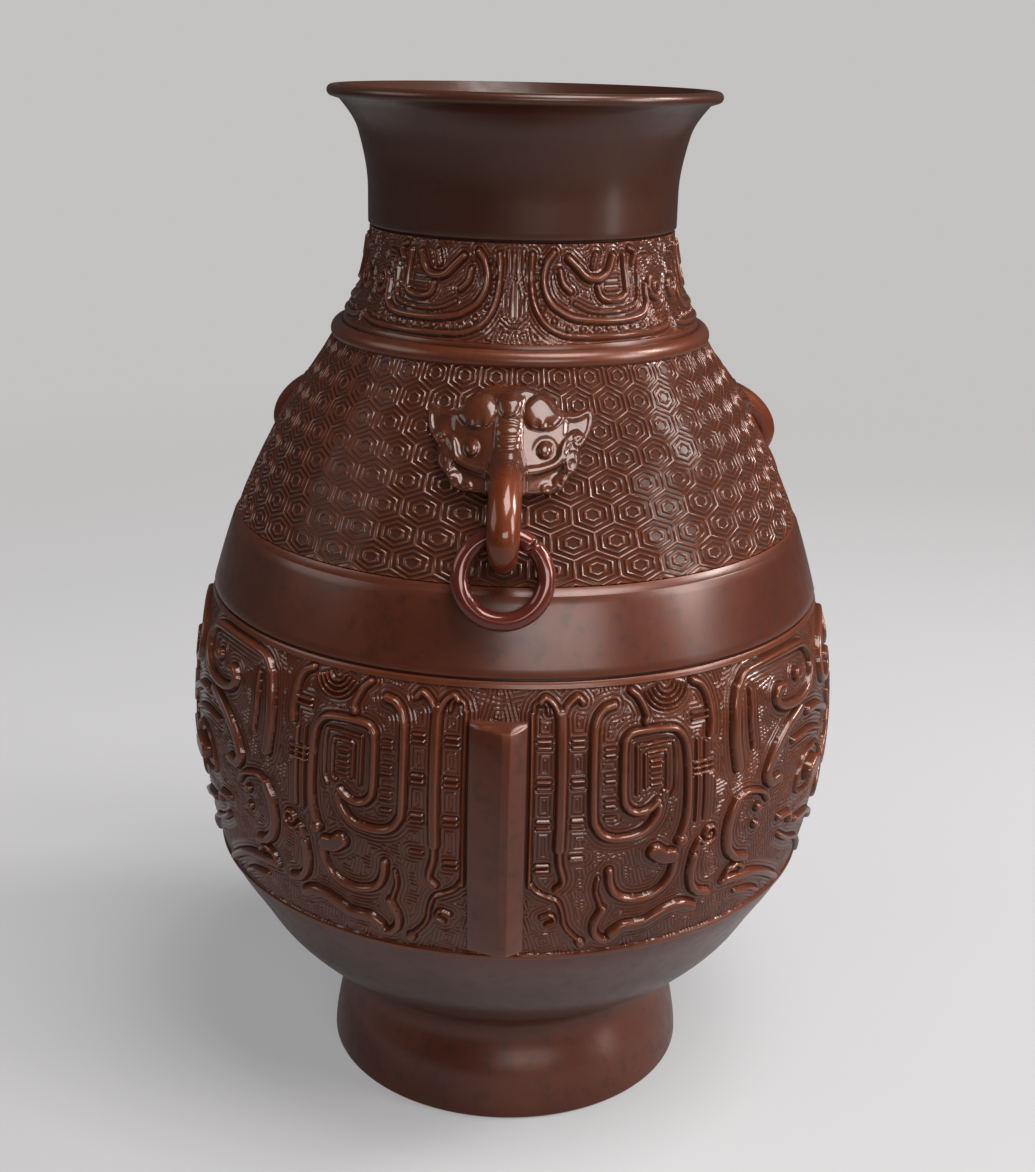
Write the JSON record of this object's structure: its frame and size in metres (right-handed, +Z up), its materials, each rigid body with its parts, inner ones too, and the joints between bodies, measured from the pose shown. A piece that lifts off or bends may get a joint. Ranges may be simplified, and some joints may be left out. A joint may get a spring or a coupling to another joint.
{
  "type": "bronze vase",
  "caption": "Bronze vase of archaic hu form with a flared mouth, spool foot, cast relief bands and elephant-head handles whose trunks each hold a loose swinging ring.",
  "frame": {"origin": "centre of the foot's flat underside, on the axis of the vase", "axes": "+Z up along the axis of the vase, -Y towards the front, through one elephant head and one belly ridge, +X to the right seen from the front"},
  "size_m": [0.1934, 0.202, 0.3],
  "materials": {
    "patinated_bronze": "dark red-brown patina, satin",
    "ridge_bronze": "red-brown patina, rubbed bright on the edges",
    "handle_bronze": "warm brown patina, polished by touch",
    "ring_bronze": "dark purple-brown patina, polished",
    "plain_bronze": "dull as cast"
  },
  "bodies": {
    "vase": {"vase_body": "patinated_bronze", "base_plate": "plain_bronze", "ridge_front": "ridge_bronze", "ridge_back": "ridge_bronze", "head_front": "handle_bronze", "head_right": "handle_bronze", "head_left": "handle_bronze", "rivet_front": "plain_bronze", "rivet_right": "plain_bronze", "rivet_left": "plain_bronze"},
    "front_ring": {"ring_front": "ring_bronze"},
    "right_ring": {"ring_right": "ring_bronze"},
    "left_ring": {"ring_left": "ring_bronze"}
  },
  "joints": [
    {"name": "front_ring_swing", "type": "hinge", "parent": "vase", "child": "front_ring", "pos_m": [0, -0.08253, 0.1934], "axis": [-1, 0, 0], "range_deg": [0, 170]},
    {"name": "right_ring_swing", "type": "hinge", "parent": "vase", "child": "right_ring", "pos_m": [0.07147, 0.04126, 0.1934], "axis": [0.5, -0.866, 0], "range_deg": [0, 170]},
    {"name": "left_ring_swing", "type": "hinge", "parent": "vase", "child": "left_ring", "pos_m": [-0.07147, 0.04126, 0.1934], "axis": [0.5, 0.866, 0], "range_deg": [0, 170]}
  ]
}
